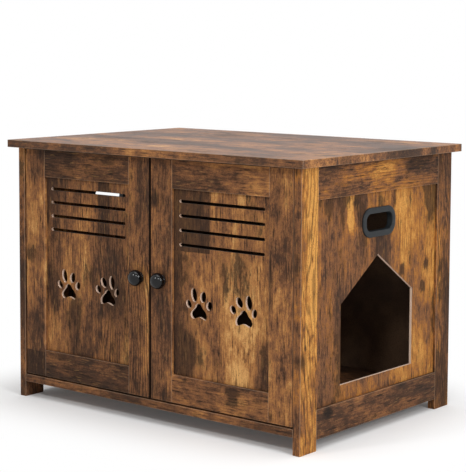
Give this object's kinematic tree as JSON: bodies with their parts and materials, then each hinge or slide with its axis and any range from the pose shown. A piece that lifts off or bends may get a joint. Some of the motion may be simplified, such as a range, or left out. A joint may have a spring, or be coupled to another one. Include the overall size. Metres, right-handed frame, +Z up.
{
  "type": "cat litter box cabinet",
  "caption": "Low rectangular wooden cabinet that hides a cat litter tray, with two hinged front doors, paw and slot cut-outs, a gabled cat opening in one side and lined hand holes.",
  "frame": {"origin": "on the floor, at the centre of the cabinet's outline seen from above", "axes": "+X to the viewer's right when facing the doors, the side with the cat opening; -Y out of the doors; +Z up"},
  "size_m": [0.75, 0.535, 0.53],
  "materials": {
    "board_dark": "rustic brown printed laminate on fibreboard, satin, charcoal smudges and knots",
    "board_warm": "rustic golden brown printed laminate on thin fibreboard, satin",
    "board_top": "rustic grey brown printed laminate, satin with a soft reflection",
    "board_back": "plain brown hardboard, matt",
    "plastic_satin": "moulded charcoal plastic, satin",
    "knob_black": "glossy black lacquer",
    "steel_zinc": "zinc-plated pressed steel",
    "catch_plastic": "moulded brown plastic",
    "dowel_beech": "bare beech"
  },
  "bodies": {
    "carcass": {"top_board": "board_top", "bottom_board": "board_dark", "back_panel": "board_back", "magnetic_catch": "catch_plastic", "front_left_leg": "board_dark", "front_right_leg": "board_dark", "rear_left_leg": "board_dark", "rear_right_leg": "board_dark", "front_left_cam_lock": "steel_zinc", "front_right_cam_lock": "steel_zinc", "rear_left_cam_lock": "steel_zinc", "rear_right_cam_lock": "steel_zinc", "front_left_cam_bolt": "steel_zinc", "front_right_cam_bolt": "steel_zinc", "rear_left_cam_bolt": "steel_zinc", "rear_right_cam_bolt": "steel_zinc", "front_left_top_dowel": "dowel_beech", "front_right_top_dowel": "dowel_beech", "rear_left_top_dowel": "dowel_beech", "rear_right_top_dowel": "dowel_beech", "left_upper_rail": "board_dark", "left_lower_rail": "board_dark", "right_upper_rail": "board_dark", "right_lower_rail": "board_dark", "left_side_panel": "board_warm", "right_side_panel": "board_warm", "left_hand_hole_bezel": "plastic_satin", "right_hand_hole_bezel": "plastic_satin", "left_hand_hole_ring": "plastic_satin", "right_hand_hole_ring": "plastic_satin", "left_lower_hinge_arm": "steel_zinc", "left_upper_hinge_arm": "steel_zinc", "right_lower_hinge_arm": "steel_zinc", "right_upper_hinge_arm": "steel_zinc", "left_lower_hinge_plate": "steel_zinc", "left_upper_hinge_plate": "steel_zinc", "right_lower_hinge_plate": "steel_zinc", "right_upper_hinge_plate": "steel_zinc"},
    "left_door": {"left_door_hinge_stile": "board_dark", "left_door_meeting_stile": "board_dark", "left_door_top_rail": "board_dark", "left_door_bottom_rail": "board_dark", "left_door_panel": "board_warm", "left_door_knob": "knob_black", "left_door_knob_screw": "steel_zinc", "left_door_strike_plate": "steel_zinc", "left_lower_hinge_cup": "steel_zinc", "left_upper_hinge_cup": "steel_zinc"},
    "right_door": {"right_door_hinge_stile": "board_dark", "right_door_meeting_stile": "board_dark", "right_door_top_rail": "board_dark", "right_door_bottom_rail": "board_dark", "right_door_panel": "board_warm", "right_door_knob": "knob_black", "right_door_knob_screw": "steel_zinc", "right_door_strike_plate": "steel_zinc", "right_lower_hinge_cup": "steel_zinc", "right_upper_hinge_cup": "steel_zinc"}
  },
  "joints": [
    {"name": "left_door_hinge", "type": "hinge", "parent": "carcass", "child": "left_door", "pos_m": [-0.341, -0.2435, 0.281], "axis": [0, 0, -1], "range_deg": [0, 110]},
    {"name": "right_door_hinge", "type": "hinge", "parent": "carcass", "child": "right_door", "pos_m": [0.341, -0.2435, 0.281], "axis": [0, 0, 1], "range_deg": [0, 110]}
  ]
}
